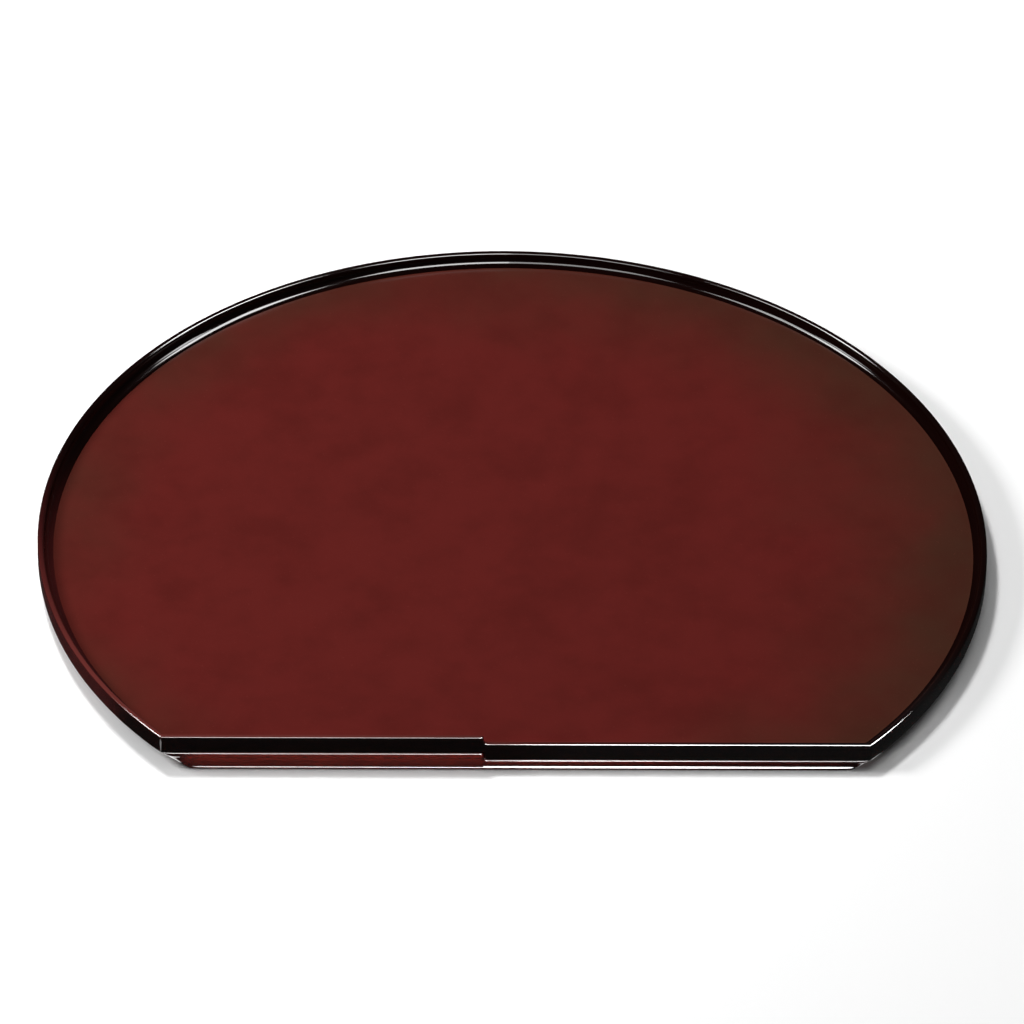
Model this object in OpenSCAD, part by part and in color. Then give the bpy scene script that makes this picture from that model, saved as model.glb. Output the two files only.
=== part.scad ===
// Half-moon lacquer tray: a bent rim hoop, two straight front rails that meet at a
// small step, a flat floor panel and a foot ring, pegged and splined together.
// +X runs to the right along the front edge, +Y to the back, +Z up.
// The origin is at the middle of the tray's footprint box, on the table.

/* [Plan] */
// Outside diameter of the curved wall
tray_d = 360; // [300:1:420]
// Depth from the straight front edge to the back of the curve
tray_depth = 304; // [270:1:330]
// Where the front edge steps down, measured from the middle (left is negative)
step_x = -12; // [-40:1:40]

/* [Heights] */
// Lip height of the left half of the front edge
high_lip = 14.5; // [13:0.1:18]
// Lip height of the right half of the front edge
low_lip = 11.4; // [11:0.1:12.8]
// Height of the black wall band, lip to ridge
band_h = 7.1; // [6.6:0.1:7.1]
// Height of the floor's top face above the table
floor_top = 8.2; // [8:0.1:8.6]
// Thickness of the floor panel
floor_t = 4.4; // [4:0.1:4.6]

/* [Wall section] */
// Thickness of the lip
lip_w = 2.4; // [2:0.1:3]
// Radius on the lip's outer edge
lip_outer_r = 0.8; // [0.5:0.1:1]
// Radius on the lip's inner edge
lip_inner_r = 1.1; // [0.6:0.1:1.2]
// Width of the cove where the wall is lowest
cove_min_w = 3.4; // [3:0.1:4]
// Extra cove width for each millimetre that the wall is higher
cove_gain = 0.45; // [0.2:0.05:0.6]
// Depth of the rebate that takes the floor panel, from the wall's outside
rebate_w = 3; // [2.5:0.1:3.2]

/* [Foot] */
// Width of the foot ring under the floor, from the wall's outside
foot_w = 13; // [11:0.5:16]
// Inward run of the curved foot's bevel for each millimetre of its height
bevel_slope = 1; // [0.8:0.05:1.1]
// How far the front foot stands proud of the front rails
ledge = 0.8; // [0.4:0.1:1]
// Inward taper of the front foot, from its ridge down to the table
foot_taper = 1; // [0:0.1:1.4]
// Radius on the ridge of the front foot
ridge_r = 0.6; // [0.3:0.1:0.7]

/* [Joinery] */
// Radius on the top corner of the high rail, at the step
step_round = 1.2; // [0.6:0.1:1.5]
// Half width of the V groove between the two front rails
v_groove = 0.35; // [0.2:0.05:0.5]
// Diameter of the dowel in the step
dowel_d = 1.6; // [1.2:0.1:1.7]
// Length of the dowel in the step
dowel_l = 24; // [16:1:30]
// Diameter of the bamboo pegs
peg_d = 2; // [1.5:0.1:2.2]
// Pegs round the curved wall
hoop_peg_count = 9; // [7:1:13]
// Pegs along each front rail
rail_peg_count = 3; // [2:1:4]
// Width of the two battens under the floor
batten_w = 24; // [18:1:30]
// Distance of each batten from the middle
batten_x = 72; // [50:1:90]
// Gap between the battens and the table
batten_gap = 1; // [0.6:0.1:1.5]
// Thickness of the mitre splines
spline_t = 1.6; // [1.2:0.1:2]

/* [Hidden] */

$fn = 128;
// Segments in the lip's rounds, the cove and the hoop
round_steps = 5;
cove_steps = 8;
hoop_steps = 96;
// The cove stops at this angle, so that its edge isn't a feather
cove_start = 14;

wall_r = tray_d / 2;
centre_y = tray_depth / 2 - wall_r;
front_y = -tray_depth / 2;
rail_y = front_y + ledge;
floor_bottom = floor_top - floor_t;
// Clearance of the floor panel in its rebate
panel_gap = 0.1;
// The dowel's axis and the pegs' axes, in from the wall's outside
dowel_inset = 1.3;
peg_inset = 10.2;
// Top of the pegs, inside the floor panel
peg_top = floor_top - 1;
// Pitch of the pegs along a batten
batten_peg_pitch = 95;
// A corner feather's half width, and where it starts and ends along the mitre
feather_w = 5.5;
feather_from = 0.4;
feather_to = 2.9;

function cove_w(lip) = cove_min_w + cove_gain * (lip - low_lip);

// Section of the wall, as [distance in from the outside, height]
function wall_section(lip) =
    let (
        cove_h = lip - lip_inner_r - floor_top,
        width = cove_w(lip),
        foot = lip_w + width
    )
    concat(
        [[0, lip - band_h]],
        [for (i = [0:round_steps])
            let (t = 90 * i / round_steps)
            [lip_outer_r * (1 - cos(t)), lip - lip_outer_r * (1 - sin(t))]],
        [for (i = [0:round_steps])
            let (t = 90 * i / round_steps)
            [lip_w - lip_inner_r * (1 - sin(t)), lip - lip_inner_r * (1 - cos(t))]],
        [for (i = [1:cove_steps])
            let (t = 90 - (90 - cove_start) * i / cove_steps)
            [foot - width * sin(t), floor_top + cove_h * (1 - cos(t))]],
        [
            [foot - width * sin(cove_start), floor_top],
            [rebate_w, floor_top],
            [rebate_w, lip - band_h],
        ]
    );

// Section of the curved foot ring
function foot_section(lip) =
    let (ridge = lip - band_h)
    [
        [bevel_slope * ridge, 0],
        [0, ridge],
        [rebate_w, ridge],
        [rebate_w, floor_bottom],
        [foot_w, floor_bottom],
        [foot_w, 0],
    ];

// Half the length of the front edge, for a wall drawn in by an inset
function corner_x(inset) = sqrt(pow(wall_r - inset, 2) - pow(rail_y + inset - centre_y, 2));

// The mitre is a straight line in plan, through the wall's outer and inner corners
mitre_run = (corner_x(0) - corner_x(foot_w)) / foot_w;

// How far back along the mitre an inset circle crosses it, and the angle of that place
function mitre_back(inset) =
    let (
        square = 1 + pow(mitre_run, 2),
        half = mitre_run * corner_x(0) - (rail_y - centre_y),
        rest = pow(wall_r, 2) - pow(wall_r - inset, 2)
    )
    (half - sqrt(pow(half, 2) - square * rest)) / square;
function end_angle(inset) = asin((rail_y + mitre_back(inset) - centre_y) / (wall_r - inset));

// A point of the hoop: part way round from the right mitre (0) to the left mitre (1)
function hoop_point(way, inset, z) =
    let (a = end_angle(inset) + (180 - 2 * end_angle(inset)) * way)
    [(wall_r - inset) * cos(a), centre_y + (wall_r - inset) * sin(a), z];

// Sweeps a section along the hoop, with its height following the lip
module hoop_sweep(section) {
    count = len(section(high_lip));
    points = [
        for (s = [0:hoop_steps])
            let (way = s / hoop_steps)
            for (p = section(low_lip + (high_lip - low_lip) * way))
                hoop_point(way, p[0], p[1])
    ];
    sides = [
        for (s = [0:hoop_steps - 1])
            for (k = [0:count - 1])
                let (n = (k + 1) % count)
                for (half = [0, 1])
                    half == 0
                        ? [s * count + k, s * count + n, (s + 1) * count + n]
                        : [s * count + k, (s + 1) * count + n, (s + 1) * count + k]
    ];
    first_cap = [for (k = [count - 1:-1:0]) k];
    last_cap = [for (k = [0:count - 1]) hoop_steps * count + k];
    polyhedron(points, concat([first_cap], sides, [last_cap]), convexity = 6);
}

// Everything between the two mitres, in plan
module between_mitres() {
    out = 20;
    linear_extrude(height = 4 * high_lip, center = true)
        polygon([
            [-corner_x(0) - mitre_run * out, rail_y - out],
            [corner_x(0) + mitre_run * out, rail_y - out],
            [corner_x(0) - mitre_run * 3 * out, rail_y + 3 * out],
            [-corner_x(0) + mitre_run * 3 * out, rail_y + 3 * out],
        ]);
}

// Extrudes a section along X, its first axis turned to run back from the rail's face
module along_front(from_x, to_x, section) {
    translate([from_x, rail_y, 0])
        rotate([90, 0, 90])
            linear_extrude(height = to_x - from_x)
                polygon(section);
}

// Straight piece of wall between two places on the front edge
module wall_rail(from_x, to_x, lip) {
    difference() {
        intersection() {
            along_front(from_x, to_x, wall_section(lip));
            between_mitres();
        }
        translate([step_x, rail_y, 0])
            rotate([0, 0, 45])
                cube([v_groove * sqrt(2), v_groove * sqrt(2), 3 * high_lip], center = true);
        along_dowel();
    }
}

// Places its children at the dowel, which lies along X through the step
module at_dowel() {
    translate([step_x, rail_y + dowel_inset, (high_lip - band_h + low_lip) / 2])
        rotate([0, 90, 0])
            children();
}

module along_dowel() {
    at_dowel() cylinder(d = dowel_d, h = dowel_l, center = true);
}

// Plan of the tray, drawn in from the wall's outside
module plan(inset) {
    intersection() {
        translate([0, centre_y])
            circle(r = wall_r - inset);
        translate([-wall_r, rail_y + inset])
            square([2 * wall_r, 2 * wall_r]);
    }
}

// Places its children at each peg of the curved foot, on the table
module at_hoop_pegs() {
    for (i = [0:hoop_peg_count - 1])
        translate(hoop_point((i + 0.5) / hoop_peg_count, peg_inset, 0))
            children();
}

// Places its children at each peg of the front foot
module at_rail_pegs() {
    count = 2 * rail_peg_count;
    span = 2 * corner_x(foot_w);
    for (i = [0:count - 1])
        translate([span * ((i + 0.5) / count - 0.5), rail_y + peg_inset, 0])
            children();
}

// Places its children at each peg of the battens
module at_batten_pegs() {
    for (side = [-1, 1])
        for (y = [-1, 0, 1])
            translate([side * batten_x, centre_y + y * batten_peg_pitch, 0])
                children();
}

// A peg through the foot or a batten, blind in the floor panel
module peg(from_z) {
    translate([0, 0, from_z])
        cylinder(d = peg_d, h = peg_top - from_z);
}

// Puts its children on a front mitre, with X square across the mitre and Y along it
module on_mitre(side, inset, z) {
    mirror([side < 0 ? 1 : 0, 0, 0])
        translate([corner_x(0) - mitre_run * inset, rail_y + inset, z])
            rotate([0, 0, atan(mitre_run)])
                children();
}

// Three-cornered feather let in across the wall's mitre, just under the lacquer
module corner_spline(side, lip) {
    on_mitre(side, 0, lip - band_h + spline_t)
        linear_extrude(height = spline_t, center = true)
            polygon([[0, feather_from], [feather_w, feather_to], [-feather_w, feather_to]]);
}

module batten(side) {
    color([0.36, 0.10, 0.08])
        difference() {
            intersection() {
                translate([side * batten_x - batten_w / 2, front_y, batten_gap])
                    cube([batten_w, tray_depth, floor_bottom - batten_gap]);
                linear_extrude(height = floor_top)
                    plan(foot_w);
            }
            at_batten_pegs() peg(0);
        }
}

// Half of the front foot, cut to the bevel that runs round the curved foot
module foot_rail(from_x, to_x, lip) {
    ridge = lip - band_h;
    intersection() {
        along_front(from_x, to_x, concat(
            [[foot_taper - ledge, 0]],
            [for (i = [0:round_steps])
                let (t = 90 * i / round_steps)
                [ridge_r * (1 - cos(t)) - ledge, ridge - ridge_r * (1 - sin(t))]],
            [
                [rebate_w, ridge],
                [rebate_w, floor_bottom],
                [foot_w, floor_bottom],
                [foot_w, 0],
            ]
        ));
        between_mitres();
        translate([0, centre_y, 0])
            cylinder(r1 = wall_r - bevel_slope * ridge, r2 = wall_r, h = ridge);
    }
}

module floor_panel() {
    color([0.34, 0.15, 0.13])
        difference() {
            translate([0, 0, floor_bottom])
                linear_extrude(height = floor_t)
                    plan(rebate_w + panel_gap);
            at_hoop_pegs() peg(0);
            at_rail_pegs() peg(0);
            at_batten_pegs() peg(0);
        }
}

module rim_hoop() {
    color([0.04, 0.02, 0.02])
        difference() {
            hoop_sweep(function (lip) wall_section(lip));
            corner_spline(-1, high_lip);
            corner_spline(1, low_lip);
        }
}

// The high rail's top corner is rounded where it drops to the low rail
module front_rail_left() {
    color([0.05, 0.02, 0.02])
        difference() {
            wall_rail(-wall_r, step_x, high_lip);
            translate([step_x - step_round, rail_y, high_lip - step_round])
                rotate([90, 0, 0])
                    difference() {
                        translate([0, 0, -2 * foot_w])
                            cube([2 * step_round, 2 * step_round, 4 * foot_w]);
                        cylinder(r = step_round, h = 6 * foot_w, center = true);
                    }
            corner_spline(-1, high_lip);
        }
}

module front_rail_right() {
    color([0.05, 0.02, 0.02])
        difference() {
            wall_rail(step_x, wall_r, low_lip);
            corner_spline(1, low_lip);
        }
}

module base_hoop() {
    color([0.20, 0.06, 0.05])
        difference() {
            hoop_sweep(function (lip) foot_section(lip));
            at_hoop_pegs() peg(0);
        }
}

module base_rail() {
    color([0.29, 0.09, 0.08])
        difference() {
            union() {
                foot_rail(-wall_r, step_x, high_lip);
                foot_rail(step_x, wall_r, low_lip);
            }
            at_rail_pegs() peg(0);
        }
}

module corner_spline_left() {
    color([0.66, 0.48, 0.30]) corner_spline(-1, high_lip);
}

module corner_spline_right() {
    color([0.66, 0.48, 0.30]) corner_spline(1, low_lip);
}

module step_dowel() {
    color([0.66, 0.48, 0.30]) along_dowel();
}

module batten_left() {
    batten(-1);
}

module batten_right() {
    batten(1);
}

module rim_pegs() {
    color([0.78, 0.66, 0.42]) at_hoop_pegs() peg(0);
}

module rail_pegs() {
    color([0.78, 0.66, 0.42]) at_rail_pegs() peg(0);
}

module batten_pegs() {
    color([0.78, 0.66, 0.42]) at_batten_pegs() peg(batten_gap);
}

floor_panel();
rim_hoop();
front_rail_left();
front_rail_right();
base_hoop();
base_rail();
corner_spline_left();
corner_spline_right();
step_dowel();
batten_left();
batten_right();
rim_pegs();
rail_pegs();
batten_pegs();
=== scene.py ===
import math

import bmesh
import bpy
import numpy as np
from mathutils import Matrix, Vector


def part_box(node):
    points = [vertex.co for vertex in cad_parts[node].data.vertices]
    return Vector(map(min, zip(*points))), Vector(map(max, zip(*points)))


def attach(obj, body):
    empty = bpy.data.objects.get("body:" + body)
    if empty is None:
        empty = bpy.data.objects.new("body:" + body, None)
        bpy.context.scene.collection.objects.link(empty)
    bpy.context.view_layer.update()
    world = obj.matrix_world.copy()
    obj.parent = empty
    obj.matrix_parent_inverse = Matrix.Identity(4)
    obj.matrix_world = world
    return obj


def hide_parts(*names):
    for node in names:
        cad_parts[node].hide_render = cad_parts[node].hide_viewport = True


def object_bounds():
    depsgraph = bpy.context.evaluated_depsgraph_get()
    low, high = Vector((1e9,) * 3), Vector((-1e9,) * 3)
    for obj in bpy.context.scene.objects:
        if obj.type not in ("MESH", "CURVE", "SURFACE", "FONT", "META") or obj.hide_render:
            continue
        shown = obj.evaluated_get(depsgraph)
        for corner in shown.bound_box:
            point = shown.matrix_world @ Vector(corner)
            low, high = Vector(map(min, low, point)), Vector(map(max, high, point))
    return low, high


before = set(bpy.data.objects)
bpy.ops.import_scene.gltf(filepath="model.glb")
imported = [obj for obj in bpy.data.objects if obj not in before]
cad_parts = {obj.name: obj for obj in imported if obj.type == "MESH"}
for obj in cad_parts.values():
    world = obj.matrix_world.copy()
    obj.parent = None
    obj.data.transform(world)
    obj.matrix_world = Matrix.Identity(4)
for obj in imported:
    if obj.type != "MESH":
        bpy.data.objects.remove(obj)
cad_low, cad_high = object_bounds()

# ---------------------------------------------------------------- sizes, in metres

left_low, left_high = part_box("front_rail_left")
right_low, right_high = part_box("front_rail_right")
foot_low, foot_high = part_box("base_rail")
panel_low, panel_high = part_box("floor_panel")

HIGH_LIP = left_high.z
LOW_LIP = right_high.z
BAND_H = HIGH_LIP - left_low.z
STEP_X = left_high.x
RAIL_Y = left_low.y
FRONT_Y = foot_low.y
FLOOR_TOP = panel_high.z
FLOOR_UNDER = panel_low.z
FOOT_W = foot_high.y - RAIL_Y
LEDGE = RAIL_Y - FRONT_Y

# The wall is part of the circle through the two front corners and the back
CORNER_X = right_high.x
ARC_RISE = cad_high.y - RAIL_Y
WALL_R = (ARC_RISE ** 2 + CORNER_X ** 2) / (2 * ARC_RISE)
CENTRE_Y = cad_high.y - WALL_R

LIP_W = 0.0024
LIP_OUTER_R = 0.0008
LIP_INNER_R = 0.0011
COVE_MIN_W = 0.0034
COVE_GAIN = 0.45
REBATE_W = 0.003
BEVEL_SLOPE = 1.0
RIDGE_R = 0.0006
# Rounding of the arris between the wall and the curved foot's bevel
ARRIS_R = 0.0010
# Rounding of the two front corners in plan, how much softer they get inwards, and how far it reaches
CORNER_R = 0.0013
CORNER_GAIN = 0.35
CORNER_REACH_OUT = 0.002
CORNER_REACH_IN = 0.75 * FOOT_W
# The bead along the bottom of the front foot, and its place as a share of the foot's ledge
BEAD_R = 0.0005
BEAD_PROUD = 0.9
# The hollow between bead and ridge, as a share of the face's height where it ends
HOLLOW_DEPTH = 0.0009
HOLLOW_END = 1 / 1.15
HOLLOW_STEPS = 8
# Softness of the edge where the front foot's face meets its cut ends
CUT_END_BLEND = 0.0012
# The drop between the two front rails
STEP_ROUND = 0.0012
STEP_FILLET = 0.0010
GROOVE_W = 0.0006
GROOVE_D = 0.00035

ARC_STEPS = 8
ARRIS_STEPS = 4
COVE_STEPS = 16
# How far round, in degrees, the cove runs before it meets the floor
COVE_SWEEP = 76
HOOP_RINGS = 400
RAIL_RINGS = 64


# ---------------------------------------------------------------- node graphs


class Wire:
    """A node socket that sums and products can be written on."""

    def __init__(self, graph, socket):
        self.graph = graph
        self.socket = socket

    def math(self, operation, *values):
        return self.graph.add("ShaderNodeMath", {"operation": operation}, dict(enumerate(values)))

    def __add__(self, other):
        return self.math("ADD", self, other)

    def __radd__(self, other):
        return self.math("ADD", other, self)

    def __sub__(self, other):
        return self.math("SUBTRACT", self, other)

    def __rsub__(self, other):
        return self.math("SUBTRACT", other, self)

    def __mul__(self, other):
        return self.math("MULTIPLY", self, other)

    def __rmul__(self, other):
        return self.math("MULTIPLY", other, self)

    def __truediv__(self, other):
        return self.math("DIVIDE", self, other)

    def __pow__(self, other):
        return self.math("POWER", self, other)

    def root(self):
        return self.math("SQRT", self)

    def cos(self):
        return self.math("COSINE", self)

    def sin(self):
        return self.math("SINE", self)

    def over(self, low, high):
        """0 where the value is low, 1 where it is high, eased between the two."""
        return self.graph.add("ShaderNodeMapRange", {"interpolation_type": "SMOOTHSTEP"}, {
            "Value": self, "From Min": low, "From Max": high,
        })


class Graph:
    """A node tree with one way to add a node."""

    def __init__(self, tree):
        self.tree = tree

    def add(self, kind, settings=None, values=None, out=0):
        made = self.tree.nodes.new(kind)
        for name, value in (settings or {}).items():
            setattr(made, name, value)
        for name, value in (values or {}).items():
            if isinstance(value, Wire):
                self.tree.links.new(value.socket, made.inputs[name])
            else:
                made.inputs[name].default_value = value
        return Wire(self, made.outputs[out]) if made.outputs else None

    def sibling(self, wire, out):
        return Wire(self, wire.socket.node.outputs[out])


# ---------------------------------------------------------------- finishes


def mix(graph, factor, a, b):
    """Colour a where the factor is 0 and b where it is 1."""
    return graph.add("ShaderNodeMix", {"data_type": "RGBA"}, {0: factor, 6: a, 7: b}, out=2)


def noise(graph, at, scale, detail=3.0, roughness=0.5):
    """Cloudy noise from 0 to 1; the scale is in clouds per metre."""
    return graph.add("ShaderNodeTexNoise", None, {
        "Vector": at, "Scale": scale, "Detail": detail, "Roughness": roughness,
    })


def stretched(graph, at, scale):
    """Coordinates drawn out along the grain."""
    return graph.add("ShaderNodeMapping", None, {"Vector": at, "Scale": scale})


def bump(graph, height, distance):
    return graph.add("ShaderNodeBump", None, {"Height": height, "Distance": distance, "Strength": 1.0})


def finish_material(name, build):
    """A material whose shader is filled in by build(graph, object coordinates)."""
    material = bpy.data.materials.new(name)
    material.use_nodes = True
    material.node_tree.nodes.clear()
    graph = Graph(material.node_tree)
    at = graph.add("ShaderNodeTexCoord", out="Object")
    shader = graph.add("ShaderNodeBsdfPrincipled", None, build(graph, at))
    graph.add("ShaderNodeOutputMaterial", None, {"Surface": shader})
    return material


def lacquer_skin(graph, at, ripple):
    """The faint waviness that a rubbed lacquer surface keeps."""
    broad = noise(graph, at, 55.0, 2.0)
    fine = noise(graph, at, 900.0, 2.0)
    return bump(graph, broad + fine * 0.06, ripple)


def rubbed(graph, at, low, high):
    """Roughness that drifts between two values, as hand polishing leaves it."""
    return noise(graph, at, 38.0, 4.0) * (high - low) + low


def floor_lacquer(graph, at):
    place = graph.add("ShaderNodeSeparateXYZ", None, {"Vector": at})
    x = place
    y = graph.sibling(place, "Y")
    z = graph.sibling(place, "Z")
    cloud = noise(graph, at, 16.0, 5.0, 0.55)
    wisps = noise(graph, at, 48.0, 6.0, 0.6)
    away = (((x + 0.018) ** 2.0 + (y - CENTRE_Y * 1.1) ** 2.0).root() + (cloud - 0.5) * 0.09) / WALL_R
    red = (0.095, 0.0115, 0.0098, 1)
    # Painted sheen: the floor is painted browner and greyer towards the wall, standing in for a soft sheen
    # there
    painted_sheen_brown = (0.046, 0.0170, 0.0100, 1)
    edge = away.over(0.66, 1.14)
    ground = mix(graph, edge, red, painted_sheen_brown)
    deep = mix(graph, wisps.over(0.35, 0.75) * 0.35, ground, (0.045, 0.0060, 0.0045, 1))
    motes = noise(graph, at, 1400.0, 1.0)
    dusted = mix(graph, motes.over(0.70, 0.80) * 0.20, deep, (0.20, 0.055, 0.04, 1))
    back = mix(graph, wisps, (0.022, 0.007, 0.005, 1), (0.040, 0.012, 0.008, 1))
    is_top = z.over(FLOOR_TOP - 0.0006, FLOOR_TOP - 0.0004)
    return {
        "Base Color": mix(graph, is_top, back, dusted),
        "Roughness": rubbed(graph, at, 0.12, 0.20),
        "Specular IOR Level": 0.12,
        "Normal": lacquer_skin(graph, at, 0.00004),
    }


def inset_of(graph, x, y):
    """How far in from the wall's outside a place lies, on the curve or along the front."""
    round_the_back = WALL_R - (x * x + (y - CENTRE_Y) ** 2.0).root()
    return round_the_back.math("MINIMUM", round_the_back, y - RAIL_Y)


def rim_lacquer(graph, at):
    place = graph.add("ShaderNodeSeparateXYZ", None, {"Vector": at})
    y = graph.sibling(place, "Y")
    drift = noise(graph, at, 30.0, 4.0)
    in_cove = inset_of(graph, place, y).over(LIP_W - 0.0004, LIP_W + 0.0004)
    handled = 1 - y.over(-0.125, -0.085)
    black = mix(graph, drift, (0.0024, 0.0003, 0.0002, 1), (0.0052, 0.0007, 0.0005, 1))
    # Painted light: the left flank is painted red where the light from the left falls on it, and stays black
    # elsewhere
    lit_flank = (1 - place.over(-0.155, -0.142)) * (1 - y.over(-0.050, 0.030))
    black_with_lit_flank = mix(graph, lit_flank * (drift * 0.8 + 0.3), black, (0.048, 0.0070, 0.0070, 1))
    # Painted highlight: the upward-facing lip at the front left is painted pinkish red for its light line
    upward = graph.sibling(graph.add("ShaderNodeNewGeometry"), "Normal")
    facing = graph.sibling(graph.add("ShaderNodeSeparateXYZ", None, {"Vector": upward}), "Z").over(0.45, 0.95)
    lip_painted_highlight = facing * (1 - in_cove) * (1 - y.over(-0.130, -0.020)) * (1 - place.over(-0.08, 0.12))
    return {
        "Base Color": mix(graph, lip_painted_highlight * 0.8, black_with_lit_flank, (0.130, 0.0260, 0.0220, 1)),
        "Roughness": rubbed(graph, at, 0.10, 0.18),
        "Specular IOR Level": 0.03,
        "Coat Weight": (handled * (0.21 + place.over(-0.01, 0.03) * 0.50) + 0.27) * (1 - in_cove * 0.55),
        "Coat Roughness": 0.04,
        "Coat IOR": 2.0,
        "Normal": lacquer_skin(graph, at, 0.00003),
    }


def foot_lacquer(graph, at):
    place = graph.add("ShaderNodeSeparateXYZ", None, {"Vector": at})
    side = place.math("ABSOLUTE", place)
    drift = noise(graph, at, 30.0, 4.0)
    red = mix(graph, drift, (0.150, 0.0125, 0.0085, 1), (0.205, 0.0200, 0.0130, 1))
    dark = (0.022, 0.0030, 0.0026, 1)
    # Painted shade: the front face is painted dark on its right length and at its cut ends, and red on the
    # left
    to_right = place.over(STEP_X - 0.001, CORNER_X * 0.9) * 0.8
    shaded_cut_ends = side.over(CORNER_X * 0.88, CORNER_X * 0.97)
    front = mix(graph, to_right + shaded_cut_ends * (1 - to_right), red, dark)
    y = graph.sibling(place, "Y")
    from_front = y.over(RAIL_Y + 0.002, RAIL_Y + 0.006)
    # Painted light: the curved foot is painted red on its left flank, where the light from the left falls,
    # and dark elsewhere
    lit_round_left = (1 - place.over(-0.158, -0.140)) * (1 - y.over(-0.040, 0.030))
    low_down = 1 - graph.sibling(place, "Z").over(0.0012, 0.0018)
    lit_side_tone = mix(graph, lit_round_left, (0.014, 0.0035, 0.0028, 1), (0.120, 0.0140, 0.0110, 1))
    return {
        "Base Color": mix(graph, from_front, front, lit_side_tone),
        "Roughness": rubbed(graph, at, 0.08, 0.16),
        "Specular IOR Level": 0.25,
        "Coat Weight": (1 - to_right) * 0.85 + low_down * 0.15,
        "Coat Roughness": 0.04,
        "Coat IOR": 2.0,
        "Normal": lacquer_skin(graph, at, 0.00003),
    }


def bare_wood(graph, at):
    along = stretched(graph, at, (1.0, 0.12, 1.0))
    rings = noise(graph, along, 420.0, 5.0, 0.6)
    pores = noise(graph, along, 2200.0, 2.0)
    tone = mix(graph, rings, (0.30, 0.165, 0.075, 1), (0.46, 0.29, 0.150, 1))
    return {
        "Base Color": mix(graph, pores.over(0.60, 0.72) * 0.5, tone, (0.17, 0.085, 0.038, 1)),
        "Roughness": rings * 0.15 + 0.55,
        "Normal": bump(graph, rings, 0.00008),
    }


def bamboo(graph, at):
    fibres = noise(graph, stretched(graph, at, (1.0, 1.0, 0.1)), 2600.0, 2.0)
    tone = mix(graph, fibres, (0.36, 0.22, 0.085, 1), (0.60, 0.43, 0.20, 1))
    return {
        "Base Color": mix(graph, fibres.over(0.62, 0.70) * 0.7, tone, (0.14, 0.075, 0.030, 1)),
        "Roughness": fibres * 0.2 + 0.42,
        "Normal": bump(graph, fibres, 0.00005),
    }


FINISHES = {
    "floor_lacquer": finish_material("floor_lacquer", floor_lacquer),
    "rim_lacquer": finish_material("rim_lacquer", rim_lacquer),
    "foot_lacquer": finish_material("foot_lacquer", foot_lacquer),
    "bare_wood": finish_material("bare_wood", bare_wood),
    "bamboo": finish_material("bamboo", bamboo),
}


# ---------------------------------------------------------------- sections and plan


def arc(centre, radius, start, end, steps=ARC_STEPS):
    """Points of an arc in a section, between two angles in degrees."""
    angles = [math.radians(start + (end - start) * i / steps) for i in range(steps + 1)]
    return [(centre[0] + radius * math.cos(a), centre[1] + radius * math.sin(a)) for a in angles]


def arris_points():
    """The rounded arris between wall and bevel, as (inset, height above the ridge), top to bottom."""
    run = ARRIS_R * math.tan(math.radians(22.5))
    split = math.degrees(math.asin(run / ARRIS_R))
    upper = arc((ARRIS_R, run), ARRIS_R, 180, 180 + split, ARRIS_STEPS)
    lower = arc((ARRIS_R, run), ARRIS_R, 180 + split, 225, ARRIS_STEPS)
    return upper, lower


def wall_section(lip, with_arris=True):
    """Section of the wall as (distance in from the outside, height), from the ridge up and over the lip."""
    ridge = lip - BAND_H
    width = COVE_MIN_W + COVE_GAIN * (lip - LOW_LIP)
    cove_h = lip - LIP_INNER_R - FLOOR_TOP
    outer = arc((LIP_OUTER_R, lip - LIP_OUTER_R), LIP_OUTER_R, 180, 90)
    inner = arc((LIP_W - LIP_INNER_R, lip - LIP_INNER_R), LIP_INNER_R, 90, 0)
    cove = []
    for i in range(1, COVE_STEPS + 1):
        t = math.radians(90 - COVE_SWEEP * i / COVE_STEPS)
        cove.append((LIP_W + width * (1 - math.sin(t)), FLOOR_TOP + cove_h * (1 - math.cos(t))))
    toe = [(cove[-1][0], FLOOR_TOP)]
    low = [(x, ridge + z) for x, z in reversed(arris_points()[0])] if with_arris else [(0, ridge)]
    return low + outer + inner + cove + toe + [(REBATE_W, FLOOR_TOP), (REBATE_W, ridge)]


def foot_section(lip):
    """Section of the curved foot ring, from the table up the bevel and back under the floor."""
    ridge = lip - BAND_H
    bevel = [(x, ridge + z) for x, z in reversed(arris_points()[1])]
    return [(BEVEL_SLOPE * ridge, 0)] + bevel + [
        (REBATE_W, ridge), (REBATE_W, FLOOR_UNDER), (FOOT_W, FLOOR_UNDER), (FOOT_W, 0),
    ]


def corner_x(inset):
    """Half the length of the front edge, for a wall drawn in by an inset."""
    return math.sqrt((WALL_R - inset) ** 2 - (RAIL_Y + inset - CENTRE_Y) ** 2)


MITRE_RUN = (corner_x(0) - corner_x(FOOT_W)) / FOOT_W
MITRE_IN = Vector((-MITRE_RUN, 1, 0)).normalized()


def spread(count):
    """Fractions from 0 to 1 that crowd towards both ends."""
    return [0.5 - 0.5 * math.cos(math.pi * i / count) for i in range(count + 1)]


def eased(value, low, high):
    """0 where the value is low, 1 where it is high, for whole arrays."""
    t = np.clip((value - low) / (high - low), 0, 1)
    return t * t * (3 - 2 * t)


# Half of the turn that the plan makes at a front corner
CORNER_HALF_TURN = 0.5 * math.acos((RAIL_Y - CENTRE_Y) / -WALL_R)


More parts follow.
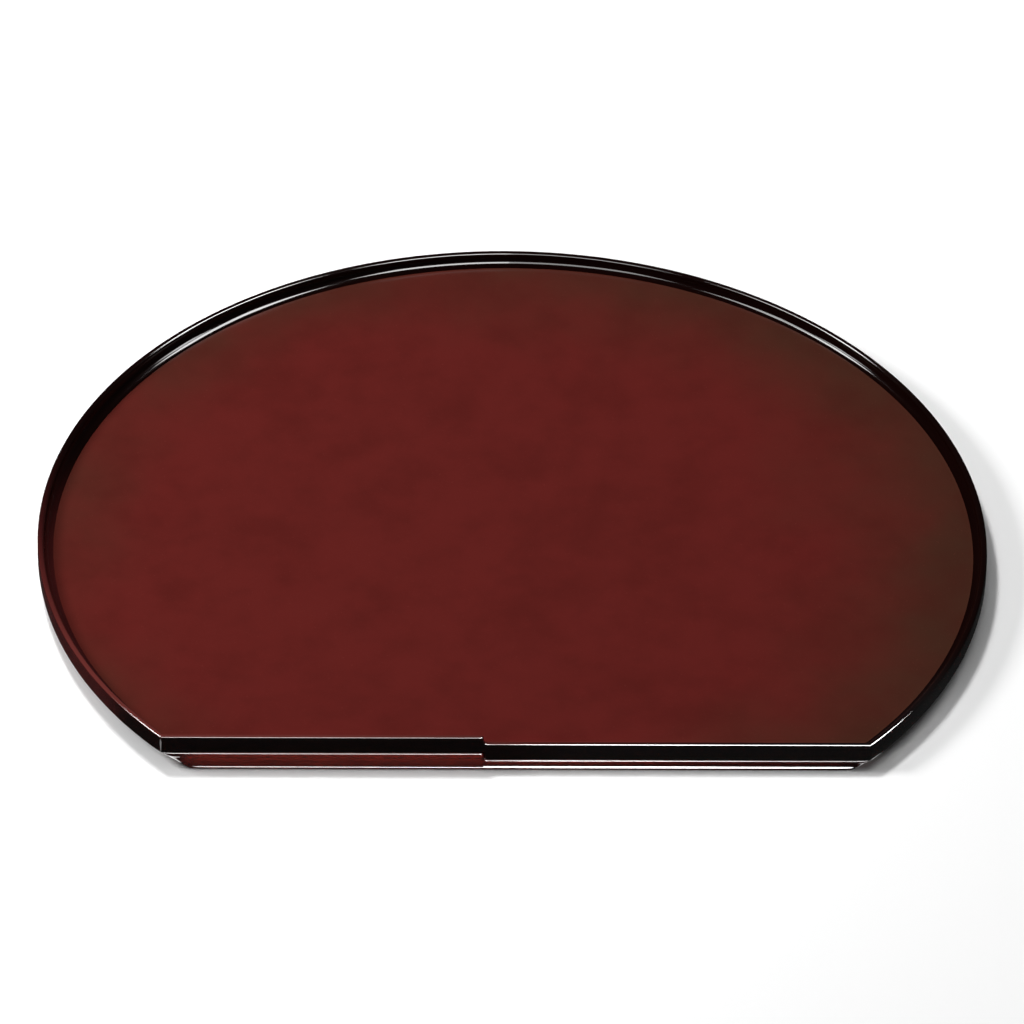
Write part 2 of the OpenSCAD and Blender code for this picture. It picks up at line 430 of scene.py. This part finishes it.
def round_corners(points):
    """Draws points near the two mitres in along them, so that the front corners are rounded in plan."""
    x, y = np.abs(points[:, 0]), points[:, 1]
    from_corner_x = x - CORNER_X
    from_corner_y = y - RAIL_Y
    inward = from_corner_x * MITRE_IN.x + from_corner_y * MITRE_IN.y
    across = np.abs(from_corner_x * MITRE_IN.y - from_corner_y * MITRE_IN.x)
    radius = CORNER_R + CORNER_GAIN * np.clip(inward, 0, FOOT_W)
    sine, cosine, slope = (f(CORNER_HALF_TURN) for f in (math.sin, math.cos, math.tan))
    rounded = radius / cosine - np.sqrt(np.maximum(radius ** 2 - across ** 2, 0))
    shift = np.where(across < radius * sine, rounded - across * slope, 0)
    shift = shift * (inward < CORNER_REACH_IN) * (inward > -CORNER_REACH_OUT)
    moved = points.copy()
    moved[:, 0] += np.sign(points[:, 0]) * shift * MITRE_IN.x
    moved[:, 1] += shift * MITRE_IN.y
    return moved


# ---------------------------------------------------------------- meshes


def mesh_object(name, points, faces):
    mesh = bpy.data.meshes.new(name)
    mesh.from_pydata([tuple(p) for p in points], [], faces)
    made = bpy.data.objects.new(name, mesh)
    bpy.context.scene.collection.objects.link(made)
    return made


def tidy_mesh(piece, sharp=40):
    """Merges doubles, turns the faces outwards and shades smooth between the sharp edges."""
    mesh = piece.data
    shell = bmesh.new()
    shell.from_mesh(mesh)
    bmesh.ops.remove_doubles(shell, verts=shell.verts, dist=1e-6)
    bmesh.ops.dissolve_degenerate(shell, edges=shell.edges, dist=1e-7)
    bmesh.ops.recalc_face_normals(shell, faces=shell.faces)
    shell.to_mesh(mesh)
    shell.free()
    mesh.shade_smooth()
    mesh.set_sharp_from_angle(angle=math.radians(sharp))


def dress(piece, finish, *nodes):
    """Gives a new piece its finish, hangs it under the root body and hides the CAD nodes it stands for."""
    piece.data.materials.clear()
    piece.data.materials.append(FINISHES[finish])
    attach(piece, "root")
    if nodes:
        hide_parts(*nodes)
    return piece


def loft(name, rings):
    """Joins closed rings of points into one solid with flat ends."""
    count = len(rings[0])
    points = [p for ring in rings for p in ring]
    faces = [tuple(range(count))]
    faces.append(tuple((len(rings) - 1) * count + k for k in reversed(range(count))))
    for r in range(len(rings) - 1):
        for k in range(count):
            n = (k + 1) % count
            faces.append((r * count + k, r * count + n, (r + 1) * count + n, (r + 1) * count + k))
    return mesh_object(name, points, faces)


def move_points(piece, change):
    """Runs change over the piece's points as an array."""
    mesh = piece.data
    points = np.empty(len(mesh.vertices) * 3)
    mesh.vertices.foreach_get("co", points)
    mesh.vertices.foreach_set("co", change(points.reshape(-1, 3)).ravel())
    mesh.update()


# ---------------------------------------------------------------- the curved wall and foot


def section_object(name, section):
    """A closed loop that carries the low lip's section as its shape and the high lip's as an attribute."""
    low, high = section(LOW_LIP), section(HIGH_LIP)
    mesh = bpy.data.meshes.new(name)
    edges = [(i, (i + 1) % len(low)) for i in range(len(low))]
    mesh.from_pydata([(x, 0, z) for x, z in low], edges, [])
    climbed = mesh.attributes.new("climbed", "FLOAT_VECTOR", "POINT")
    climbed.data.foreach_set("vector", [c for x, z in high for c in (x, 0, z)])
    made = bpy.data.objects.new(name, mesh)
    bpy.context.scene.collection.objects.link(made)
    return made


def hoop_tree():
    """Geometry nodes that sweep a section round the hoop, climbing from the right mitre to the left one."""
    tree = bpy.data.node_groups.new("climbing_hoop", "GeometryNodeTree")
    panel = tree.interface
    panel.new_socket("Geometry", in_out="OUTPUT", socket_type="NodeSocketGeometry")
    for label, kind in (
        ("Section", "NodeSocketObject"), ("Rings", "NodeSocketInt"), ("Wall radius", "NodeSocketFloat"),
        ("Centre Y", "NodeSocketFloat"), ("Rail Y", "NodeSocketFloat"), ("Corner X", "NodeSocketFloat"),
        ("Mitre run", "NodeSocketFloat"), ("Finish", "NodeSocketMaterial"),
    ):
        panel.new_socket(label, in_out="INPUT", socket_type=kind)
    g = Graph(tree)
    given = g.add("NodeGroupInput")

    def value(label):
        return g.sibling(given, label)

    loop = g.add("GeometryNodeObjectInfo", None, {"Object": value("Section")}, out="Geometry")
    outline = g.add("GeometryNodeMeshToCurve", None, {"Mesh": loop})
    place = g.add("GeometryNodeInputPosition")
    outline = g.add("GeometryNodeStoreNamedAttribute", {"data_type": "FLOAT_VECTOR"},
                    {"Geometry": outline, "Name": "level", "Value": place})
    line = g.add("GeometryNodeCurvePrimitiveLine", None, {"Start": (0, 0, 0), "End": (0, 1, 0)})
    line = g.add("GeometryNodeResampleCurve", None, {"Curve": line, "Count": value("Rings")})
    along = g.add("GeometryNodeSplineParameter", out="Factor")
    line = g.add("GeometryNodeStoreNamedAttribute", {"data_type": "FLOAT"},
                 {"Geometry": line, "Name": "along", "Value": along})
    tube = g.add("GeometryNodeCurveToMesh", None,
                 {"Curve": line, "Profile Curve": outline, "Fill Caps": True})

    # How far round, crowded towards the mitres
    share = g.add("GeometryNodeInputNamedAttribute", {"data_type": "FLOAT"}, {"Name": "along"})
    way = 0.5 - (share * math.pi).cos() * 0.5
    low = g.add("GeometryNodeInputNamedAttribute", {"data_type": "FLOAT_VECTOR"}, {"Name": "level"})
    high = g.add("GeometryNodeInputNamedAttribute", {"data_type": "FLOAT_VECTOR"}, {"Name": "climbed"})
    section = g.add("ShaderNodeMix", {"data_type": "VECTOR"}, {0: way, 4: low, 5: high}, out=1)
    inset = g.add("ShaderNodeSeparateXYZ", None, {"Vector": section})
    height = g.sibling(inset, "Z")

    # Where the inset circle crosses the mitre, and the angle of that place
    run, radius = value("Mitre run"), value("Wall radius")
    front = value("Rail Y") - value("Centre Y")
    square = run * run + 1
    half = run * value("Corner X") - front
    rest = radius * radius - (radius - inset) ** 2.0
    back = (half - (half * half - square * rest).root()) / square
    first = inset.math("ARCSINE", (front + back) / (radius - inset))
    angle = first + (math.pi - 2 * first) * way
    where = g.add("ShaderNodeCombineXYZ", None, {
        "X": (radius - inset) * angle.cos(),
        "Y": value("Centre Y") + (radius - inset) * angle.sin(),
        "Z": height,
    })
    bent = g.add("GeometryNodeSetPosition", None, {"Geometry": tube, "Position": where})
    real = g.add("GeometryNodeRealizeInstances", None, {"Geometry": bent})
    done = g.add("GeometryNodeSetMaterial", None, {"Geometry": real, "Material": value("Finish")})
    g.add("NodeGroupOutput", None, {"Geometry": done})
    return tree


def bake(name, tree, values):
    """Runs a tree on an empty mesh with its named inputs set and keeps the result as a plain mesh."""
    host = mesh_object(name + "_host", [(0, 0, 0)], [])
    modifier = host.modifiers.new("shape", "NODES")
    modifier.node_group = tree
    sockets = {s.name: s.identifier for s in tree.interface.items_tree if s.in_out == "INPUT"}
    for label, value in values.items():
        modifier[sockets[label]] = value
    ready = host.evaluated_get(bpy.context.evaluated_depsgraph_get())
    mesh = bpy.data.meshes.new_from_object(ready)
    bpy.data.objects.remove(host)
    mesh.name = name
    for spare in [a.name for a in mesh.attributes if a.name in ("level", "climbed", "along")]:
        mesh.attributes.remove(mesh.attributes[spare])
    made = bpy.data.objects.new(name, mesh)
    bpy.context.scene.collection.objects.link(made)
    return made


HOOP_TREE = hoop_tree()


def hoop_piece(name, section, finish, node):
    pattern = section_object(name + "_section", section)
    piece = bake(name, HOOP_TREE, {
        "Section": pattern, "Rings": HOOP_RINGS + 1, "Wall radius": WALL_R, "Centre Y": CENTRE_Y,
        "Rail Y": RAIL_Y, "Corner X": CORNER_X, "Mitre run": MITRE_RUN, "Finish": FINISHES[finish],
    })
    bpy.data.objects.remove(pattern)
    move_points(piece, round_corners)
    tidy_mesh(piece)
    return dress(piece, finish, node)


hoop_piece("rim_wall", wall_section, "rim_lacquer", "rim_hoop")
hoop_piece("curved_foot", foot_section, "foot_lacquer", "base_hoop")


# ---------------------------------------------------------------- the front rails


def rail_piece(name, side, lip, node):
    """A straight length of wall from its mitre to the step, shaped where it meets the other one."""
    section = wall_section(lip, with_arris=False)
    rings = []
    for f in spread(RAIL_RINGS):
        ring = []
        for inset, z in section:
            corner = side * (CORNER_X - MITRE_RUN * inset)
            ring.append((corner + (STEP_X - corner) * f, RAIL_Y + inset, z))
        rings.append(ring)
    piece = loft(name, rings)
    reach = STEP_ROUND if side < 0 else STEP_FILLET

    def shape_end(points):
        moved = round_corners(points)
        gap = np.clip(np.abs(points[:, 0] - STEP_X), 0, None)
        bend = reach - np.sqrt(np.maximum(reach ** 2 - np.maximum(reach - gap, 0) ** 2, 0))
        share = eased(points[:, 2], lip - BAND_H * 0.5, lip - LIP_INNER_R)
        moved[:, 2] += side * bend * share
        outside = 1 - eased(points[:, 1] - RAIL_Y, 0, LIP_OUTER_R)
        moved[:, 1] += GROOVE_D * (1 - eased(gap, 0, GROOVE_W)) * outside
        return moved

    move_points(piece, shape_end)
    tidy_mesh(piece)
    return dress(piece, "rim_lacquer", node)


rail_piece("front_wall_left", -1, HIGH_LIP, "front_rail_left")
rail_piece("front_wall_right", 1, LOW_LIP, "front_rail_right")


def front_face(ridge):
    """The front foot's outer face, from the table up to the top of its ridge, as (distance in, height)."""
    bead = arc((BEAD_R - LEDGE * BEAD_PROUD, BEAD_R), BEAD_R, 250, 110)
    start, low = bead[-1]
    end, high = -LEDGE, ridge - RIDGE_R
    hollow = []
    for i in range(1, HOLLOW_STEPS):
        t = i / HOLLOW_STEPS
        scoop = HOLLOW_DEPTH * math.sin(math.pi * t / HOLLOW_END) ** 0.8 if t < HOLLOW_END else 0
        hollow.append((start + (end - start) * t + scoop, low + (high - low) * t))
    crown = arc((RIDGE_R - LEDGE, high), RIDGE_R, 180, 90)
    return bead + hollow + crown


def front_foot():
    """The front foot in one length, its ends cut to the bevel that runs round the curved foot."""
    rings = []
    for side, lip in ((-1, HIGH_LIP), (1, LOW_LIP)):
        ridge = lip - BAND_H
        face = front_face(ridge)
        inside = [(REBATE_W, ridge), (REBATE_W, FLOOR_UNDER), (FOOT_W, FLOOR_UNDER), (FOOT_W, 0)]
        half = []
        for f in spread(RAIL_RINGS * 2):
            ring = []
            for k, (inset, z) in enumerate(face + inside):
                on_face = k < len(face)
                mitre_inset = BEVEL_SLOPE * (ridge - z) if on_face else inset
                corner = side * (CORNER_X - MITRE_RUN * mitre_inset)
                x = corner + (STEP_X - corner) * f
                y = RAIL_Y + inset
                if on_face:
                    cone_r = WALL_R - BEVEL_SLOPE * (ridge - z)
                    cone_y = CENTRE_Y - math.sqrt(max(cone_r ** 2 - x ** 2, 0))
                    y = (y + cone_y + math.hypot(y - cone_y, CUT_END_BLEND)) / 2
                ring.append((x, y, z))
            half.append(ring)
        rings += half if side < 0 else half[::-1]
    piece = loft("front_foot", rings)

    def round_step(points):
        moved = round_corners(points)
        gap = points[:, 0] - STEP_X
        proud = 1 - eased(points[:, 1] - RAIL_Y, -0.0003, 0.0001)
        left_ridge, right_ridge = HIGH_LIP - BAND_H, LOW_LIP - BAND_H
        for side, ridge, reach in ((-1, left_ridge, STEP_ROUND), (1, right_ridge, STEP_FILLET)):
            near = np.maximum(reach - np.abs(gap), 0) * (np.sign(gap) == side)
            bend = reach - np.sqrt(np.maximum(reach ** 2 - near ** 2, 0))
            moved[:, 2] += side * bend * eased(points[:, 2], ridge * 0.4, ridge - RIDGE_R) * proud
        return moved

    move_points(piece, round_step)
    tidy_mesh(piece, 50)
    return dress(piece, "foot_lacquer", "base_rail")


front_foot()


# ---------------------------------------------------------------- floor, battens, pegs, hidden joinery

CAD_FINISHES = {
    "floor_lacquer": ("floor_panel",),
    "foot_lacquer": ("batten_left", "batten_right"),
    "bare_wood": ("corner_spline_left", "corner_spline_right", "step_dowel"),
    "bamboo": ("rim_pegs", "rail_pegs", "batten_pegs"),
}
for finish, nodes in CAD_FINISHES.items():
    for node in nodes:
        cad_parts[node].data.materials.clear()
        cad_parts[node].data.materials.append(FINISHES[finish])


# ---------------------------------------------------------------- studio


def studio_floor():
    """A wide sheet of white paper on the table."""
    half = 4.0
    corners = [(-half, -half, 0), (half, -half, 0), (half, half, 0), (-half, half, 0)]
    floor = mesh_object("studio_floor", corners, [(0, 1, 2, 3)])
    material = bpy.data.materials.new("studio_paper")
    material.use_nodes = True
    graph = Graph(material.node_tree)
    material.node_tree.nodes.clear()
    shader = graph.add("ShaderNodeBsdfDiffuse", None, {"Color": (0.93, 0.93, 0.93, 1)})
    graph.add("ShaderNodeOutputMaterial", None, {"Surface": shader})
    floor.data.materials.append(material)
    # The paper stays out of the gloss, as it does where black cards stand round the tray
    floor.visible_glossy = False


def lamp(name, place, aim, width, height, strength, shines):
    """A rectangular light. One that shines shows only in the gloss, and the others only light surfaces."""
    light = bpy.data.lights.new(name, "AREA")
    light.shape = "RECTANGLE"
    light.size = width
    light.size_y = height
    light.energy = strength * width * height * math.pi
    holder = bpy.data.objects.new(name, light)
    bpy.context.scene.collection.objects.link(holder)
    holder.location = place
    holder.rotation_mode = "QUATERNION"
    holder.rotation_quaternion = (Vector(place) - Vector(aim)).to_track_quat("Z", "Y")
    holder.visible_glossy = shines
    holder.visible_diffuse = not shines
    holder.visible_camera = False


# Gloss panels overhead, seen only in the lacquer: left, right, front and back edges, and strength
TOP_PANELS = {
    "left_back": (-0.95, -0.55, 0.24, 0.50, 46.0),
    "left": (-0.95, -0.50, -0.15, 0.24, 24.0),
    "front_left": (-0.60, 0.02, -0.95, -0.45, 16.0),
    "front_right": (0.02, 0.60, -0.95, -0.45, 40.0),
    "right": (0.50, 0.95, -0.15, 0.24, 46.0),
    "right_back": (0.55, 0.95, 0.24, 0.50, 46.0),
}
PANEL_HEIGHT = 1.15
# Gloss panels upright at the two sides: distance out along X, and strength
SIDE_PANELS = {"side_left": (-1.15, 21.0), "side_right": (1.15, 32.0)}
SIDE_PANEL_Y = 0.12
SIDE_PANEL_Z = 1.0
# Small gloss cards on the table at the front corners: middle, width, depth and strength
CARD_Z = 0.0002
CORNER_CARDS = {
    "card_left": (0.001 - CORNER_X, FRONT_Y + 0.0055, 0.012, 0.009, 1.7),
    "card_right": (CORNER_X - 0.001, FRONT_Y + 0.0055, 0.012, 0.009, 1.7),
    "card_corner": (-0.010 - CORNER_X, FRONT_Y - 0.010, 0.012, 0.012, 2.6),
}


def studio_lights():
    """A high key from the back left, a low one from the left, a broad fill, and the gloss panels."""
    middle = (0, 0, 0)
    lamp("high_key", (-0.42, 0.46, 1.50), middle, 0.25, 0.25, 86.0, False)
    lamp("left_key", (-1.25, 0.05, 0.95), middle, 0.40, 0.40, 33.0, False)
    lamp("fill", (0, 0.1, 2.2), middle, 3.0, 3.0, 0.66, False)
    for name, (left, right, front, back, strength) in TOP_PANELS.items():
        x, y = (left + right) / 2, (front + back) / 2
        lamp(name, (x, y, PANEL_HEIGHT), (x, y, 0), right - left, back - front, strength, True)
    # These lift the cut ends of the front foot and the arris at the left corner
    for name, (x, y, width, depth, strength) in CORNER_CARDS.items():
        lamp(name, (x, y, CARD_Z), (x, y, 1), width, depth, strength, True)
    for name, (x, strength) in SIDE_PANELS.items():
        inside = (0, SIDE_PANEL_Y, SIDE_PANEL_Z)
        lamp(name, (x, SIDE_PANEL_Y, SIDE_PANEL_Z), inside, 0.25, 0.40, strength, True)


def studio_sky(level):
    """An even, dim white all round."""
    world = bpy.data.worlds.new("studio")
    bpy.context.scene.world = world
    world.use_nodes = True
    world.node_tree.nodes["Background"].inputs["Color"].default_value = (1, 1, 1, 1)
    world.node_tree.nodes["Background"].inputs["Strength"].default_value = level


# The camera's angles in degrees, its distance, its focal length as a multiple of the sensor's width,
# and how far the wall's centre sits below and right of the middle, as shares of the frame
ELEVATION, TURN, ROLL = 38.62, 1.18, 0.90
CAMERA_AWAY = 3.5
FOCAL = 8.99
CENTRE_DOWN = 0.0474
CENTRE_RIGHT = 0.0009
SENSOR = 36


def camera():
    """A long lens from the front, a little to the left, set by its angles about the wall's centre."""
    elevation, turn, roll = (math.radians(a) for a in (ELEVATION, TURN, ROLL))
    level = math.cos(elevation)
    forward = Vector((level * math.sin(turn), level * math.cos(turn), -math.sin(elevation)))
    right = Vector((math.cos(turn), -math.sin(turn), 0))
    up = right.cross(forward)
    aim = (forward + up * (CENTRE_DOWN / FOCAL) - right * (CENTRE_RIGHT / FOCAL)).normalized()
    right = aim.cross(up).normalized()
    up = right.cross(aim)
    rolled_right = right * math.cos(roll) + up * math.sin(roll)
    rolled_up = up * math.cos(roll) - right * math.sin(roll)
    data = bpy.data.cameras.new("camera")
    data.sensor_width = SENSOR
    data.lens = SENSOR * FOCAL
    data.clip_end = 50
    shot = bpy.data.objects.new("camera", data)
    bpy.context.scene.collection.objects.link(shot)
    shot.location = Vector((0, CENTRE_Y, 0)) - forward * CAMERA_AWAY
    shot.rotation_mode = "QUATERNION"
    shot.rotation_quaternion = Matrix((rolled_right, rolled_up, -aim)).transposed().to_quaternion()
    bpy.context.scene.camera = shot


studio_floor()
studio_sky(0.03)
studio_lights()
camera()
bpy.context.scene.view_settings.view_transform = "Standard"
